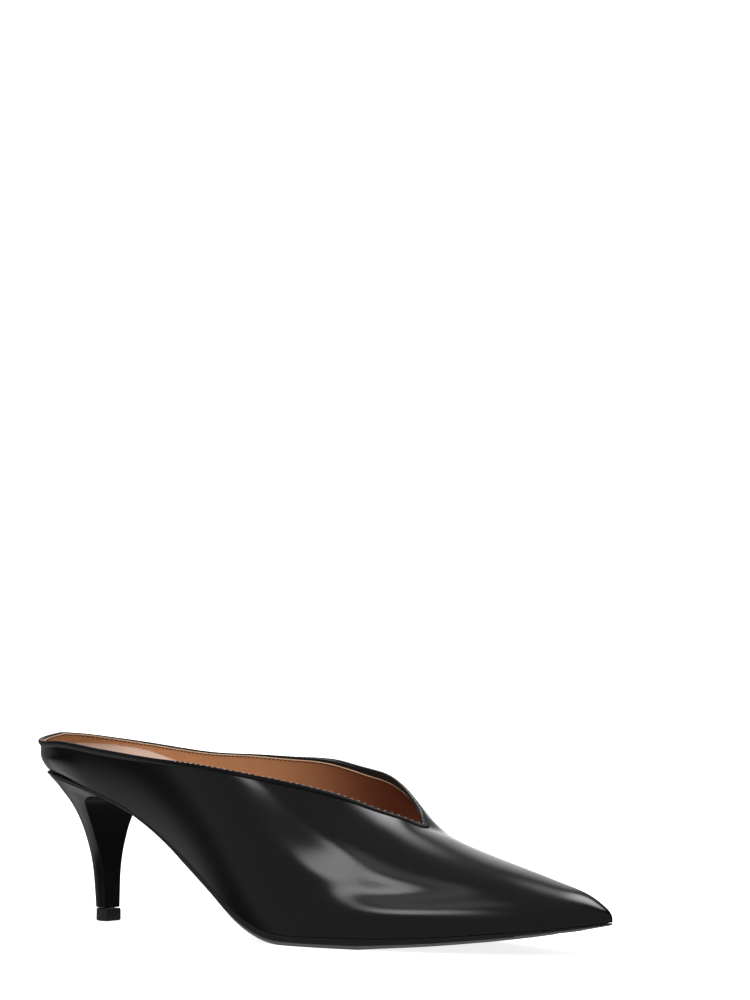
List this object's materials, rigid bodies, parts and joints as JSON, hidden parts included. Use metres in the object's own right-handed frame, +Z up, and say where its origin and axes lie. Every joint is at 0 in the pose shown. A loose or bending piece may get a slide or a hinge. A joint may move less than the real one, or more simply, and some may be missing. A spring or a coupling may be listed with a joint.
{
  "type": "pump shoe",
  "caption": "Right pointed-toe kitten-heel pump with a V throat, low closed back, rolled topline binding, lined hollow upper, thin sole and slim covered heel.",
  "frame": {"origin": "middle of the shoe's box, on the floor it stands on", "axes": "+Z up; the toe points along -Y and the heel lies at +Y; +X is the wearer's medial side of this right shoe, -X its lateral side"},
  "size_m": [0.0724, 0.2618, 0.076],
  "materials": {
    "upper_leather": "polished smooth calf, semi-gloss",
    "binding_leather": "rolled edge, satin",
    "insole_leather": "unpolished lining calf",
    "sole_rubber": "matt",
    "heel_cover": "smooth calf over a moulded heel, satin",
    "lift_rubber": "matt"
  },
  "bodies": {
    "root": {"upper": "upper_leather", "topline_binding": "binding_leather", "insole": "insole_leather", "outsole": "sole_rubber", "heel": "heel_cover", "top_lift": "lift_rubber"}
  },
  "joints": []
}
